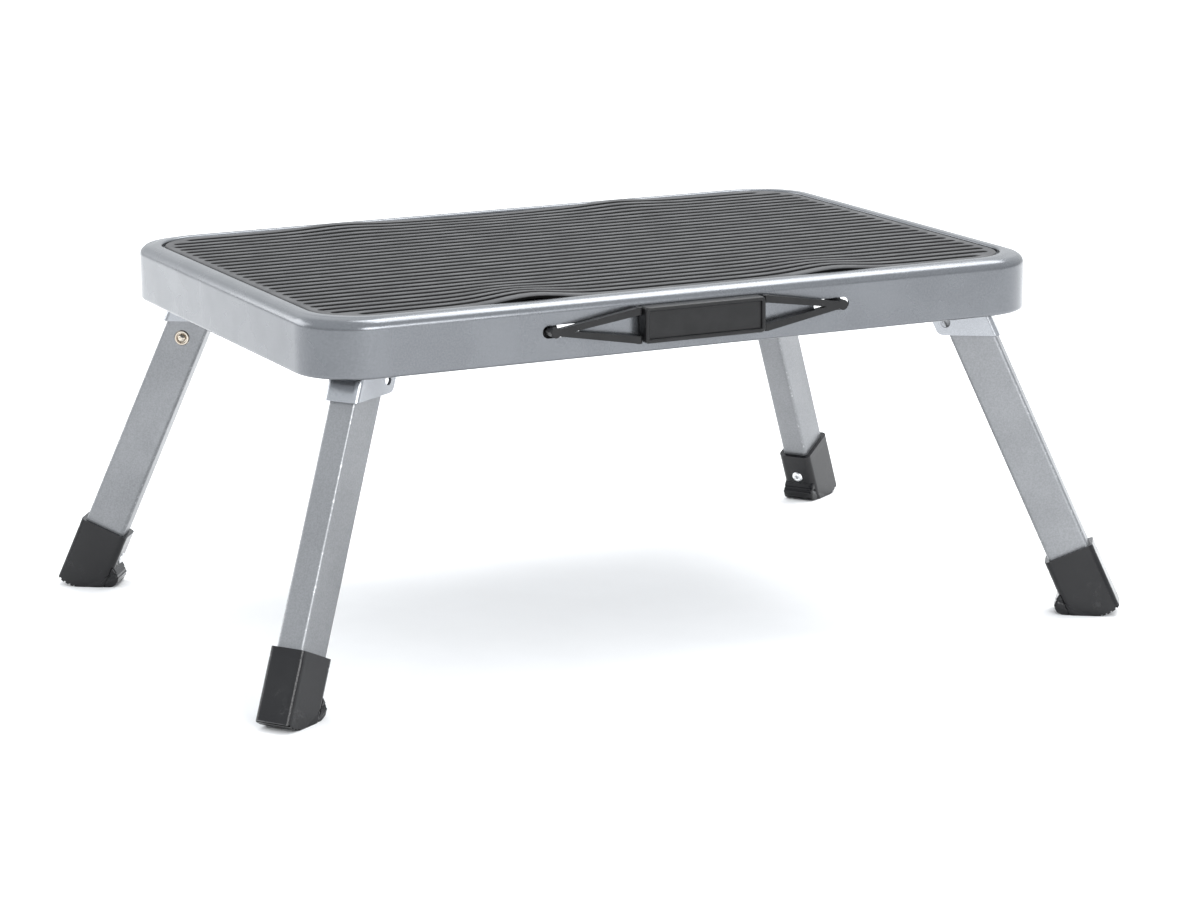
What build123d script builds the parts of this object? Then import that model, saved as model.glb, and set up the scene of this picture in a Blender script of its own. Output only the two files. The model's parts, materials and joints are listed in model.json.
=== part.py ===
# Folding step stool: a pressed steel tray on four folding legs, with a ribbed
# rubber mat and a carry handle. Millimetres, +Z up. The origin is on the floor
# under the middle of the tray. +X runs along the long side and the carry handle
# is on the -Y side.
from build123d import *
import os
from math import atan2, cos, degrees, radians, sin, sqrt, tan

os.makedirs("parts", exist_ok=True)

# ---------------------------------------------------------------- dimensions
# tray
tray_length = 480.0
tray_width = 341.0
tray_top = 227.0            # crest of the rim above the floor
skirt_depth = 35.0
tray_sheet = 1.5
plan_corner = 38.0          # corner radius seen from above
edge_radius = 6.0           # rounding between rim and skirt
rim_width = 12.0            # skirt face to the edge of the recess
recess_corner = 34.0        # corner radius of the recess, seen from above
recess_depth = 3.5
recess_edge = 1.4           # rounding of the rim's inner edge
hem_width = 5.0             # return flange along the bottom of the skirt
hem_round = 1.3

# mat
mat_gap = 2.0               # mat edge to the wall of the recess
mat_thickness = 2.8
mat_border = 5.1
groove_pitch = 11.3
groove_width = 4.8
groove_depth = 1.3

# legs
leg_splay = 24.0            # lean of the leg from vertical, degrees
leg_turn = 34.0             # direction of the lean, from the long axis
pivot_in_x = 40.0           # short side of the tray to the pivot
pivot_in_y = 34.1           # long side of the tray to the pivot
pivot_above_skirt = 0.5     # pivot above the lower edge of the skirt
tube_depth = 26.6           # tube section, in the plane of folding
tube_width = 18.2           # tube section, along the pivot
tube_wall = 1.5
tube_corner = 2.4
tube_off_floor = 8.7        # lower end of the tube to the floor, along the leg

# bracket
bracket_sheet = 2.0
bracket_drop = 15.2         # below the lower edge of the skirt
cheek_gap = 0.7             # cheek to tube, each side
web_gap = 0.3               # web to tube with the leg open
cheek_inner = 19.0          # leg axis to the inner edge of the cheek
cheek_corner = 5.0
cheek_hole = 3.0            # radius
cheek_hole_u = -9.3         # inwards from the pivot
cheek_hole_drop = 7.9       # below the pivot
weld_flange = 9.0

# pivot pin
pin_radius = 3.0
pin_clearance = 0.06
pin_head = 5.0
pin_head_height = 2.2

# button and its spring
button_along = 29.4         # pivot to the button, along the leg
button_radius = 4.65
button_clearance = 0.3
button_stand = 1.2          # collar above the tube
nose_radius = 2.9
nose_height = 1.3
button_flange = 5.7
button_travel = 2.2
spring_strip = 0.6
spring_width = 9.0
spring_clearance = 0.5      # pressed-in spring to the tube's far wall
spring_length = 43.0

# foot
foot_wall = 2.8
foot_length = 43.0
foot_corner = 4.0
toe_reach = 6.2             # toe beyond the line of the inner face
toe_start = 12.4            # height at which the toe leaves the inner face
toe_inset = 0.6
toe_side_round = 1.6
sole_flat = 1.0             # end of the flat sole, outside the leg's axis
sole_rise = 6.6             # turn-up of the sole at the outer face
serrations = 4
serration_width = 1.2
serration_depth = 0.9
foot_rivet_z = 17.0
foot_rivet_radius = 2.0
foot_rivet_head = 3.9

# stiffener
stiffener_width = 24.0
stiffener_depth = 6.0
stiffener_sheet = 1.2
stiffener_lip = 8.0
stiffener_end_gap = 4.0     # end of the stiffener to the wall of the recess

# carry handle
slot_centre_x = 89.0
slot_length = 24.0
slot_height = 7.5
grip_length = 79.0
grip_height = 21.5
grip_depth = 8.4
grip_gap = 1.2              # back of the grip to the skirt
grip_wall = 2.0
grip_frame = 2.2
grip_panel_drop = 0.8
arm_hinge_gap = 0.35
arm_depth = 4.0
arm_bar = 4.4
arm_hinge_off = 5.5         # hinge axis in front of the skirt
arm_tip_off = 3.0           # tip of the arm in front of the skirt
arm_tip_out = 5.5           # tip beyond the middle of its slot
neck_radius = 3.1
neck_length = 9.3
stop_radius = 5.5
stop_thickness = 3.0

# ------------------------------------------------------------ derived values
skirt_bottom = tray_top - skirt_depth
panel_top = tray_top - recess_depth
panel_under = panel_top - tray_sheet
front_face = -tray_width / 2
mat_length = tray_length - 2 * (rim_width + mat_gap)
mat_width = tray_width - 2 * (rim_width + mat_gap)
mat_corner = recess_corner - mat_gap
groove_count = int((mat_width - 2 * mat_border - groove_width) / groove_pitch) + 1
pivot_x = tray_length / 2 - pivot_in_x
pivot_y = tray_width / 2 - pivot_in_y
pivot_z = skirt_bottom + pivot_above_skirt
bracket_bottom = skirt_bottom - bracket_drop
handle_z = tray_top - skirt_depth / 2
cs = cos(radians(leg_splay))
sn = sin(radians(leg_splay))
foot_centre = pivot_z * sn / cs          # leg axis at the floor, out from the pivot
tube_end = pivot_z / cs - tube_off_floor # pivot to the lower end of the tube
arm_tip_x = slot_centre_x + arm_tip_out

corners = {
    "front_left": (-1, -1),
    "back_left": (-1, 1),
    "front_right": (1, -1),
    "back_right": (1, 1),
}


def save(shape, name):
    export_step(shape, f"parts/{name}.step")


def slab(length, width, radius, height, base):
    """Upright block with rounded corners standing on z = base."""
    outline = RectangleRounded(length, width, radius)
    return Pos(0, 0, base) * extrude(outline, height)


def edges_at(shape, height):
    return shape.edges().filter_by(lambda e: abs(e.bounding_box().max.Z - height) < 1e-3
                                   and abs(e.bounding_box().min.Z - height) < 1e-3)


# ---------------------------------------------------------------------- tray
def make_tray():
    shell = slab(tray_length, tray_width, plan_corner, skirt_depth, skirt_bottom)
    shell = fillet(edges_at(shell, tray_top), edge_radius)

    inner_height = skirt_depth - tray_sheet
    hollow = slab(tray_length - 2 * tray_sheet, tray_width - 2 * tray_sheet,
                  plan_corner - tray_sheet, inner_height, skirt_bottom)
    hollow = fillet(edges_at(hollow, tray_top - tray_sheet), edge_radius - tray_sheet)
    side = 2 * rim_width - 2 * tray_sheet
    hollow -= slab(tray_length - side, tray_width - side, recess_corner + tray_sheet,
                   recess_depth, panel_under)
    shell -= hollow

    recess = slab(tray_length - 2 * rim_width, tray_width - 2 * rim_width,
                  recess_corner, recess_depth + 5, panel_top)
    shell -= recess
    inner_edge = [e for e in edges_at(shell, tray_top) if inset(e) > rim_width - 0.01]
    shell = fillet(inner_edge, recess_edge)

    hem = slab(tray_length - tray_sheet, tray_width - tray_sheet,
               plan_corner - tray_sheet / 2, tray_sheet, skirt_bottom)
    hem -= slab(tray_length - 2 * hem_width, tray_width - 2 * hem_width,
                plan_corner - hem_width, 3 * tray_sheet, skirt_bottom - tray_sheet)
    shell += hem
    lower_edge = [e for e in edges_at(shell, skirt_bottom) if abs(inset(e)) < 0.01]
    shell = fillet(lower_edge, hem_round)

    for side in (-1, 1):
        outline = SlotOverall(slot_length, slot_height)
        cutter = extrude(outline, 10, both=True)
        shell -= Pos(side * slot_centre_x, front_face, handle_z) * Rot(90, 0, 0) * cutter
    return shell


def inset(edge):
    """How far inside the skirt's face an edge lies, seen from above."""
    p = edge @ 0.5
    dx = max(abs(p.X) - (tray_length / 2 - plan_corner), 0)
    dy = max(abs(p.Y) - (tray_width / 2 - plan_corner), 0)
    return plan_corner - sqrt(dx * dx + dy * dy)


# ----------------------------------------------------------------------- mat
def make_mat():
    mat = slab(mat_length, mat_width, mat_corner, mat_thickness, panel_top)
    inset = mat_corner - mat_border
    grooves = Sketch()
    for k in range(groove_count):
        y = (k - (groove_count - 1) / 2) * groove_pitch
        edge = abs(y) + groove_width / 2 - (mat_width / 2 - mat_corner)
        half = mat_length / 2 - mat_border
        if edge > 0:
            half -= inset - sqrt(max(inset * inset - edge * edge, 0))
        grooves += Pos(0, y) * SlotOverall(2 * half, groove_width)
    cut = extrude(grooves, groove_depth + 1)
    return mat - Pos(0, 0, panel_top + mat_thickness - groove_depth) * cut


# ----------------------------------------------------------------- stiffener
def make_stiffener():
    half = tray_width / 2 - rim_width - stiffener_end_gap
    z0 = panel_under - stiffener_depth
    hat = Pos(0, 0, z0 + stiffener_depth / 2) * Box(stiffener_width, 2 * half, stiffener_depth)
    hollow_z = z0 + stiffener_sheet + stiffener_depth / 2
    hat -= Pos(0, 0, hollow_z) * Box(stiffener_width - 2 * stiffener_sheet, 2 * half + 2,
                                     stiffener_depth)
    lip_x = stiffener_width / 2 + stiffener_lip / 2
    for side in (-1, 1):
        hat += Pos(side * (lip_x - 0.5), 0, panel_under - stiffener_sheet / 2) * Box(
            stiffener_lip + 1, 2 * half, stiffener_sheet)
    return hat


# ----------------------------------------------------------------------- leg
# Each leg is drawn about its pivot: X points outwards along the lean, Y is the
# pivot line and Z is up. at_leg() puts it in its corner.
def at_leg(corner):
    sx, sy = corners[corner]
    turn = degrees(atan2(sy * sin(radians(leg_turn)), sx * cos(radians(leg_turn))))
    return Pos(sx * pivot_x, sy * pivot_y, 0) * Rot(0, 0, turn)


def button_side(corner):
    """The buttons face the middle of the stool: +1 or -1 along the leg's Y."""
    sx, sy = corners[corner]
    return -sx * sy


leg_axis = Plane(origin=(0, 0, pivot_z), x_dir=(cs, 0, sn), z_dir=(sn, 0, -cs)).location


def point(out, down):
    """Leg-plane point: out from the leg's axis, down along it from the pivot."""
    return (out * cs + down * sn, pivot_z + out * sn - down * cs)


def side_plate(points, half_width):
    outline = make_face(Plane.XZ * Polyline(*points, close=True))
    return extrude(outline, half_width, both=True)


def across(radius, half_width, u, z):
    """Cylinder along the leg's Y through (u, z)."""
    return Pos(u, 0, z) * Rot(90, 0, 0) * Cylinder(radius, 2 * half_width)


def make_tube(side):
    ring = RectangleRounded(tube_depth, tube_width, tube_corner)
    ring -= RectangleRounded(tube_depth - 2 * tube_wall, tube_width - 2 * tube_wall,
                             tube_corner - tube_wall)
    tube = leg_axis * Pos(0, 0, -tube_depth / 2) * extrude(ring, tube_end + tube_depth / 2)
    keep = across(tube_depth / 2 - 0.02, tube_width, 0, pivot_z)
    keep += leg_axis * Pos(0, 0, tube_end / 2 + 1) * Box(tube_depth + 4, 2 * tube_width,
                                                         tube_end + 2)
    tube = tube & keep
    tube -= across(pin_radius + pin_clearance, tube_width, 0, pivot_z)
    u, z = point(0, button_along)
    hole = across(button_radius + button_clearance, tube_width / 2, u, z)
    tube -= Pos(0, side * tube_width / 2, 0) * hole
    tube -= foot_rivet_axis() * Cylinder(foot_rivet_radius, 12)
    return tube


def foot_rivet_axis():
    """On the leg's inner face, with Z pointing into the tube."""
    down = (pivot_z - (tube_depth / 2 + foot_wall) * sn - foot_rivet_z) / cs
    u, z = point(-(tube_depth / 2 + foot_wall), down)
    return Plane(origin=(u, 0, z), x_dir=(0, 1, 0), z_dir=(cs, 0, sn)).location


def make_foot():
    outer = tube_depth / 2 + foot_wall
    half = tube_width / 2 + foot_wall
    top = pivot_z / cs - foot_length

    block = leg_axis * Pos(0, 0, top) * extrude(
        RectangleRounded(2 * outer, 2 * half, foot_corner), foot_length + 12)
    block = block & side_plate(sole_outline(outer, top), half + 1)
    toe = side_plate(toe_outline(outer), half - toe_inset)
    nose = [e for e in toe.edges() if e.bounding_box().size.Y < 1e-3
            and e.bounding_box().min.X < foot_centre - outer / cs - toe_reach + 1.0]
    block += fillet(nose, toe_side_round)

    socket = leg_axis * extrude(RectangleRounded(tube_depth, tube_width, tube_corner), tube_end)
    block -= socket
    block -= foot_rivet_axis() * Cylinder(foot_rivet_radius, 3 * foot_wall)
    for k in range(1, serrations + 1):
        f = k / (serrations + 0.6)
        u, z = sole_point(outer, f)
        block -= Pos(u, 0, z) * Rot(0, -2 * f * leg_splay, 0) * Box(
            serration_width, 2 * half + 2, 2 * serration_depth)
    return block


def sole_point(outer, f):
    """A point on the turned-up part of the sole, f from 0 at the flat to 1."""
    start = foot_centre + sole_flat
    end = foot_centre + outer / cs - sole_rise * tan(radians(leg_splay))
    return (start + (end - start) * f, sole_rise * f * f)


def sole_outline(outer, top):
    curve = [sole_point(outer, k / 8) for k in range(9)]
    floor = (foot_centre - outer / cs - 2, 0.0)
    return [point(-outer - 1, top - 2), floor] + curve + [point(outer + 1, top - 2)]


def toe_outline(outer):
    """Side view of the toe that stands out of the foot's inner face."""
    face = foot_centre - outer / cs
    lean = tan(radians(leg_splay))
    inside = 1.2
    return [
        (face - (toe_start + 1) * lean + inside, toe_start + 1),
        (face - toe_start * lean, toe_start),
        (face - toe_reach - 1.0, toe_start * 0.78),
        (face - toe_reach - 1.7, toe_start * 0.52),
        (face - toe_reach - 1.6, toe_start * 0.30),
        (face - toe_reach - 0.3, toe_start * 0.11),
        (face - toe_reach + 2.4, 0.0),
        (face + inside, 0.0),
    ]


def make_foot_rivet():
    wall = foot_wall + tube_wall
    shank = Pos(0, 0, wall / 2) * Cylinder(foot_rivet_radius, wall)
    bulb = Pos(0, 0, wall + 1.5) * Cylinder(foot_rivet_radius + 1.0, 3.0)
    rivet = rivet_head() + shank + bulb
    rivet -= Pos(0, 0, -1.2) * Cylinder(1.25, 1.2)
    return foot_rivet_axis() * rivet


def rivet_head():
    disc = Pos(0, 0, -0.6) * Cylinder(foot_rivet_head, 1.2)
    rim = disc.edges().filter_by(lambda e: e.bounding_box().max.Z < -1.0)
    return fillet(rim, 0.8)


# ------------------------------------------------------------------- bracket
def make_bracket():
    near = -cheek_inner
    far = tube_depth / 2 + web_gap + bracket_sheet
    wide = tube_width + 2 * (cheek_gap + bracket_sheet)
    reach = far - near
    section = Pos((far + near) / 2, 0) * Rectangle(reach, wide)
    section = fillet(section.vertices().filter_by(lambda v: v.X > 0), 3.6)
    inside = Pos((far + near) / 2 - bracket_sheet, 0) * Rectangle(
        reach, wide - 2 * bracket_sheet)
    inside = fillet(inside.vertices().filter_by(lambda v: v.X > 0), 1.6)
    channel = leg_axis * Pos(0, 0, -45) * extrude(section - inside, 75)

    lean = tan(radians(leg_splay))

    def at(out, z):
        return (out / cs + (pivot_z - z) * lean, z)

    outline = Plane.XZ * Polyline(at(far + 1, panel_under), at(far + 1, bracket_bottom),
                                  at(near, bracket_bottom), at(near, panel_under), close=True)
    face = make_face(outline)
    low = face.vertices().sort_by(Axis.Z)[:2].sort_by(Axis.X)[0]
    face = fillet(low, cheek_corner)
    bracket = channel & extrude(face, wide, both=True)

    top_far = at(far, panel_under)[0]
    top_near = at(near, panel_under)[0]
    span = top_far - top_near
    plate = Pos((top_far + top_near) / 2, 0, panel_under - bracket_sheet / 2) * Box(
        span, wide + 2 * weld_flange, bracket_sheet)
    plate = fillet(plate.edges().filter_by(Axis.Z), 3)
    plate -= Pos((top_far + top_near) / 2, 0, panel_under) * Box(
        span - 8, wide - 2 * bracket_sheet - 2, 3 * bracket_sheet)
    bracket += plate

    bracket -= across(pin_radius, wide, 0, pivot_z)
    bracket -= across(cheek_hole, wide, cheek_hole_u, pivot_z - cheek_hole_drop)
    return bracket


def make_pin():
    half = tube_width / 2 + cheek_gap + bracket_sheet
    pin = across(pin_radius, half, 0, pivot_z)
    for side in (-1, 1):
        head = Cylinder(pin_head, pin_head_height)
        top = head.edges().filter_by(lambda e: e.bounding_box().min.Z > 0.5)
        head = fillet(top, pin_head_height * 0.7)
        place = Pos(0, side * (half + pin_head_height / 2), pivot_z) * Rot(-90 * side, 0, 0)
        pin += place * head
    return pin


# ---------------------------------------------------------- button and spring
def button_axis(side):
    """Z points out of the tube through the button; z = 0 is the tube's face."""
    u, z = point(0, button_along)
    return Plane(origin=(u, side * tube_width / 2, z), x_dir=(cs, 0, sn),
                 z_dir=(0, side, 0)).location


def make_button(side):
    inner = -tube_wall - 0.1
    collar = Pos(0, 0, (button_stand + inner) / 2) * Cylinder(button_radius,
                                                             button_stand - inner)
    top = collar.edges().filter_by(lambda e: e.bounding_box().min.Z > button_stand - 0.01)
    collar = fillet(top, 0.9)
    flange = Pos(0, 0, inner - 0.5) * Cylinder(button_flange, 1.0)
    ball = (nose_radius ** 2 + nose_height ** 2) / (2 * nose_height)
    nose = Pos(0, 0, button_stand + nose_height - ball) * Sphere(ball)
    nose = nose & Pos(0, 0, button_stand + 5 - 0.2) * Box(20, 20, 10)
    return button_axis(side) * (collar + flange + nose)


def make_spring(side):
    """Strip spring: under the button, then sloping across the tube to its far wall."""
    back = -tube_wall - 1.1
    far = tube_wall + button_travel + spring_clearance - tube_width
    t = spring_strip
    end = spring_length - button_radius
    run = [(-button_radius, back), (7.0, back), (end - 8, far + t), (end, far + t),
           (end, far), (end - 8.2, far), (6.8, back - t), (-button_radius, back - t)]
    u, z = point(0, button_along)
    # the plane's Y is the way out of the tube on this side
    base = Plane(origin=(u, side * tube_width / 2, z), x_dir=(sn, 0, -cs),
                 z_dir=(cs * side, 0, sn * side))
    outline = make_face(base * Polyline(*run, close=True))
    return extrude(outline, spring_width / 2, both=True)


# -------------------------------------------------------------- carry handle
def make_grip():
    front = front_face - grip_gap - grip_depth
    mid = front + grip_depth / 2
    body = Pos(0, mid, handle_z) * Box(grip_length, grip_depth, grip_height)
    body = fillet(body.edges().filter_by(Axis.Y), 2.0)
    face = body.faces().sort_by(Axis.Y)[0]
    body = fillet(face.edges(), 0.7)
    body -= Pos(0, mid + grip_wall + grip_panel_drop, handle_z) * Box(
        grip_length - 2 * grip_wall, grip_depth, grip_height - 2 * grip_wall)
    body -= Pos(0, front, handle_z) * Box(
        grip_length - 2 * grip_frame, 2 * grip_panel_drop, grip_height - 2 * grip_frame)
    return body


def arm_hinge_x():
    return grip_length / 2 + arm_hinge_gap + arm_depth / 2


def make_arm(side):
    hinge_x = arm_hinge_x()
    dx = arm_tip_x - hinge_x
    dy = arm_hinge_off - arm_tip_off
    length = sqrt(dx * dx + dy * dy)
    lean = degrees(atan2(dy, dx))
    rise = grip_height / 2 - arm_bar / 2

    # drawn flat: X from the hinge to the tip, Y through the thickness, Z up
    arm = None
    for up in (-1, 1):
        end = arm_bar * 0.8 / 2
        outline = Plane.XZ * Polyline((0, up * rise - arm_bar / 2), (length, -end),
                                      (length, end), (0, up * rise + arm_bar / 2), close=True)
        bar = extrude(make_face(outline), arm_depth / 2, both=True)
        bar += Pos(0, 0, up * rise) * Cylinder(arm_depth / 2, arm_bar)
        arm = bar if arm is None else arm + bar
    arm += Pos(length, 0, 0) * Rot(90, 0, 0) * Cylinder(neck_radius, arm_depth)
    neck_end = neck_length + stop_thickness
    arm += Pos(length, neck_end / 2, 0) * Rot(90, 0, 0) * Cylinder(neck_radius, neck_end)
    disc = Cylinder(stop_radius, stop_thickness)
    disc = fillet(disc.edges(), 0.8)
    arm += Pos(length, neck_length + stop_thickness / 2, 0) * Rot(90, 0, 0) * disc
    arm = Pos(hinge_x, front_face - arm_hinge_off, handle_z) * Rot(0, 0, lean) * arm
    return arm if side > 0 else mirror(arm, about=Plane.YZ)


# --------------------------------------------------------------------- export
save(make_tray(), "platform_tray")
save(make_mat(), "anti_slip_mat")
save(make_stiffener(), "panel_stiffener")

foot = make_foot()
foot_rivet = make_foot_rivet()
bracket = make_bracket()
pin = make_pin()
tubes = {s: make_tube(s) for s in (-1, 1)}
buttons = {s: make_button(s) for s in (-1, 1)}
springs = {s: make_spring(s) for s in (-1, 1)}

for corner in corners:
    place = at_leg(corner)
    s = button_side(corner)
    save(place * bracket, f"leg_bracket_{corner}")
    save(place * pin, f"pivot_pin_{corner}")
    save(place * tubes[s], f"leg_tube_{corner}")
    save(place * foot, f"foot_{corner}")
    save(place * foot_rivet, f"foot_rivet_{corner}")
    save(place * buttons[s], f"lock_button_{corner}")
    save(place * springs[s], f"button_spring_{corner}")

save(make_grip(), "handle_grip")
save(make_arm(-1), "handle_arm_left")
save(make_arm(1), "handle_arm_right")

print("pivot", [round(pivot_x, 2), round(pivot_y, 2), pivot_z], "axis turn", leg_turn)
print("arm hinge", round(arm_hinge_x(), 3), front_face - arm_hinge_off, handle_z)
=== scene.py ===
# %% [markdown]
# # A folding step stool
#
# The stool is a pressed steel tray with a ribbed rubber mat, four folding legs
# of rectangular tube in rubber boots, and a moulded carry handle in front.
# The engineering model gives every size and every moving body. This script
# puts the looks around it: better meshes where the eye rests, and a finish
# for every surface. All lengths are metres, so `mm` turns a drawing's
# millimetres into them.

# %% Load the frame
import bmesh
import bpy
import json
import math
from mathutils import Matrix, Quaternion, Vector

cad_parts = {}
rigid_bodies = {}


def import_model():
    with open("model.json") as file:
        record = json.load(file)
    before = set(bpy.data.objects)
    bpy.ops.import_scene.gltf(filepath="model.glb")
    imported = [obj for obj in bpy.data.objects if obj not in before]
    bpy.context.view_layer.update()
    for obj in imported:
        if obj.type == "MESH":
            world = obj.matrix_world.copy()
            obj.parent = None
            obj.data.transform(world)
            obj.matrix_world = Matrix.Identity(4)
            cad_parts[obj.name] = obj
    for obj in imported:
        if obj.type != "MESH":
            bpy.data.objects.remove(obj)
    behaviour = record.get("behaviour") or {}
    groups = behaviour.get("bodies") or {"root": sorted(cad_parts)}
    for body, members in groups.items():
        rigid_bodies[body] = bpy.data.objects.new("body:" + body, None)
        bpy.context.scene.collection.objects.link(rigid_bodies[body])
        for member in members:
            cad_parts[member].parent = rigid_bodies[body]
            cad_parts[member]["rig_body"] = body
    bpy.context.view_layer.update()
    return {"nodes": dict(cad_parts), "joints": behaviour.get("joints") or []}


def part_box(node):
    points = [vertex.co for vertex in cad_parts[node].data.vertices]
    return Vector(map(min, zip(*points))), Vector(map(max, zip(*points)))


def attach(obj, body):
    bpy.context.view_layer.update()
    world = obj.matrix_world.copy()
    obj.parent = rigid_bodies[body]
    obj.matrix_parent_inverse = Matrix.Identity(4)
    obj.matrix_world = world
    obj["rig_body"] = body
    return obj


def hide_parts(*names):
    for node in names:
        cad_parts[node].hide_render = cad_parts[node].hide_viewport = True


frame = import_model()
nodes = frame["nodes"]
joints = {j["name"]: j for j in frame["joints"]}
corners = ("front_left", "back_left", "front_right", "back_right")
mm = 0.001
scene = bpy.context.scene

# %% [markdown]
# ## Camera
#
# The stool is seen from the left, a little above the tray, from more than two
# metres away with a long lens. A long lens keeps the tray's sides nearly
# parallel, as in a catalogue picture. A camera looks along its own -Z, so a
# track quaternion from eye to aim gives its turn, and a small roll levels it.

# %% Camera
eye = Vector((-990.2, -2125.6, 617.2)) * mm
aim = Vector((6.8, -18.2, 99.0)) * mm
roll = math.radians(-0.64)

camera = bpy.data.objects.new("camera", bpy.data.cameras.new("camera"))
scene.collection.objects.link(camera)
camera.data.sensor_width = 36
camera.data.lens = 113.5
camera.location = eye
camera.rotation_mode = "QUATERNION"
look = (aim - eye).to_track_quat("-Z", "Y")
camera.rotation_quaternion = look @ Quaternion((0, 0, 1), roll)
scene.camera = camera
print("camera distance", round((aim - eye).length, 3), "m")

# %% [markdown]
# ## Floor and light
#
# Metal shows what it reflects, so the light matters more than the paint's own
# colour. A large soft light overhead gives the thin bright line along the
# tray's rolled rim. One at the back left lights the left side more than the
# front, and a smaller one in front lights the front of the skirt. The world is
# nearly white, and brighter overhead than at the horizon, as in a white
# studio. The plain "Standard" view keeps the floor a clean white.

# %% Floor and light
scene.view_settings.view_transform = "Standard"


def area_light(name, place, target, size, power):
    """A rectangular softbox: metres for place, target and size, watts for power."""
    data = bpy.data.lights.new(name, "AREA")
    data.shape = "RECTANGLE"
    data.size, data.size_y = size
    data.energy = power
    lamp = bpy.data.objects.new(name, data)
    scene.collection.objects.link(lamp)
    lamp.location = place
    lamp.rotation_mode = "QUATERNION"
    lamp.rotation_quaternion = (Vector(target) - Vector(place)).to_track_quat("-Z", "Y")


area_light("overhead_softbox", place=(1.1, 0.4, 2.6), target=(0, 0, 0.1),
           size=(1.9, 1.7), power=62)
area_light("left_softbox", place=(-1.9, 2.0, 1.1), target=(-0.4, 0.4, 0),
           size=(2.0, 1.4), power=24)
area_light("front_softbox", place=(0.15, -2.6, 1.05), target=(0, 0, 0.15),
           size=(1.3, 0.9), power=30)

horizon_strength, ceiling_strength = 1.00, 1.42
ceiling_starts = 0.6  # Z of the direction from which the world is at its brightest
world = bpy.data.worlds.new("room")
scene.world = world
world.use_nodes = True
room = world.node_tree
ceiling = room.nodes.new("ShaderNodeMapRange")
ceiling.interpolation_type = "SMOOTHSTEP"
direction = room.nodes.new("ShaderNodeSeparateXYZ")
outlook = room.nodes.new("ShaderNodeTexCoord").outputs["Generated"]
room.links.new(outlook, direction.inputs[0])
room.links.new(direction.outputs["Z"], ceiling.inputs["Value"])
for label, value in (("From Min", 0.0), ("From Max", ceiling_starts),
                     ("To Min", horizon_strength), ("To Max", ceiling_strength)):
    ceiling.inputs[label].default_value = value
room.links.new(ceiling.outputs["Result"], room.nodes["Background"].inputs["Strength"])
room.nodes["Background"].inputs["Color"].default_value = (0.94, 0.97, 1.00, 1)

floor_half = 14.0
floor_mesh = bpy.data.meshes.new("floor")
square = ((-1, -1), (1, -1), (1, 1), (-1, 1))
floor_mesh.from_pydata([(x * floor_half, y * floor_half, 0) for x, y in square],
                       [], [(0, 1, 2, 3)])
floor = bpy.data.objects.new("floor", floor_mesh)
scene.collection.objects.link(floor)

# %% [markdown]
# ## Small tools for node trees
#
# Materials and Geometry Nodes are both trees of nodes. These helpers keep the
# trees readable: `calc` is one Math node, whose inputs may be numbers or other
# nodes' outputs, and `new_group` starts a reusable group with named sockets.

# %% Node helpers
def plug(tree, value, socket):
    """A number, colour or another node's output into a socket."""
    if isinstance(value, bpy.types.NodeSocket):
        tree.links.new(value, socket)
    else:
        socket.default_value = value


def calc(tree, operation, *values):
    node = tree.nodes.new("ShaderNodeMath")
    node.operation = operation
    for value, socket in zip(values, node.inputs):
        plug(tree, value, socket)
    return node.outputs[0]


def ramp(tree, value, low, high, to_low=0.0, to_high=1.0):
    """Smooth step from to_low to to_high while value goes from low to high."""
    node = tree.nodes.new("ShaderNodeMapRange")
    node.interpolation_type = "SMOOTHSTEP"
    for socket, v in zip(("Value", "From Min", "From Max", "To Min", "To Max"),
                         (value, low, high, to_low, to_high)):
        plug(tree, v, node.inputs[socket])
    return node.outputs["Result"]


def blend_colour(tree, factor, first, second):
    node = tree.nodes.new("ShaderNodeMix")
    node.data_type = "RGBA"
    plug(tree, factor, node.inputs["Factor"])
    for name, colour in (("A", first), ("B", second)):
        socket = [s for s in node.inputs if s.name == name and s.type == "RGBA"][0]
        plug(tree, colour, socket)
    return [s for s in node.outputs if s.type == "RGBA"][0]


def new_group(name, inputs, outputs, kind="ShaderNodeTree"):
    """A group with named inputs, each a number or a socket type, and outputs."""
    tree = bpy.data.node_groups.new(name, kind)
    for label, value in inputs.items():
        named_type = isinstance(value, str)
        socket = tree.interface.new_socket(
            label, in_out="INPUT", socket_type=value if named_type else "NodeSocketFloat")
        if not named_type:
            socket.default_value = value
    for label, socket_type in outputs.items():
        tree.interface.new_socket(label, in_out="OUTPUT", socket_type=socket_type)
    return (tree, tree.nodes.new("NodeGroupInput").outputs,
            tree.nodes.new("NodeGroupOutput").inputs)


def use_group(tree, group, **values):
    """Places a shared group; keyword names are its inputs with spaces as _."""
    node = tree.nodes.new("ShaderNodeGroup")
    node.node_tree = group
    for name, value in values.items():
        plug(tree, value, node.inputs[name.replace("_", " ").capitalize()])
    return node.outputs


# %% [markdown]
# ## Effects that several finishes share
#
# Real surfaces are never one even colour. Five small groups cover this stool:
# *grain* is an unevenness, fine in its height and broad in its tone; *flake*
# is the very fine noise of metal particles in silver paint; *specks* are the
# chips and dust spots scattered at random; *scuffs* are rubbed patches that
# gather below a given height, as on the boots; the *painted edge highlight* is
# a pale line painted along the corners of a leg tube, where light catches them.
# Each group reads Object coordinates or a place stored on the mesh, which stay
# with the piece when it moves, and puts out only masks, heights and tones.

# %% Grain
def object_place(tree):
    return tree.nodes.new("ShaderNodeTexCoord").outputs["Object"]


def noise(tree, vector, scale, detail=3.0, rough=0.55):
    node = tree.nodes.new("ShaderNodeTexNoise")
    plug(tree, vector, node.inputs["Vector"])
    plug(tree, scale, node.inputs["Scale"])
    plug(tree, detail, node.inputs["Detail"])
    plug(tree, rough, node.inputs["Roughness"])
    return node.outputs["Fac"]


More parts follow.
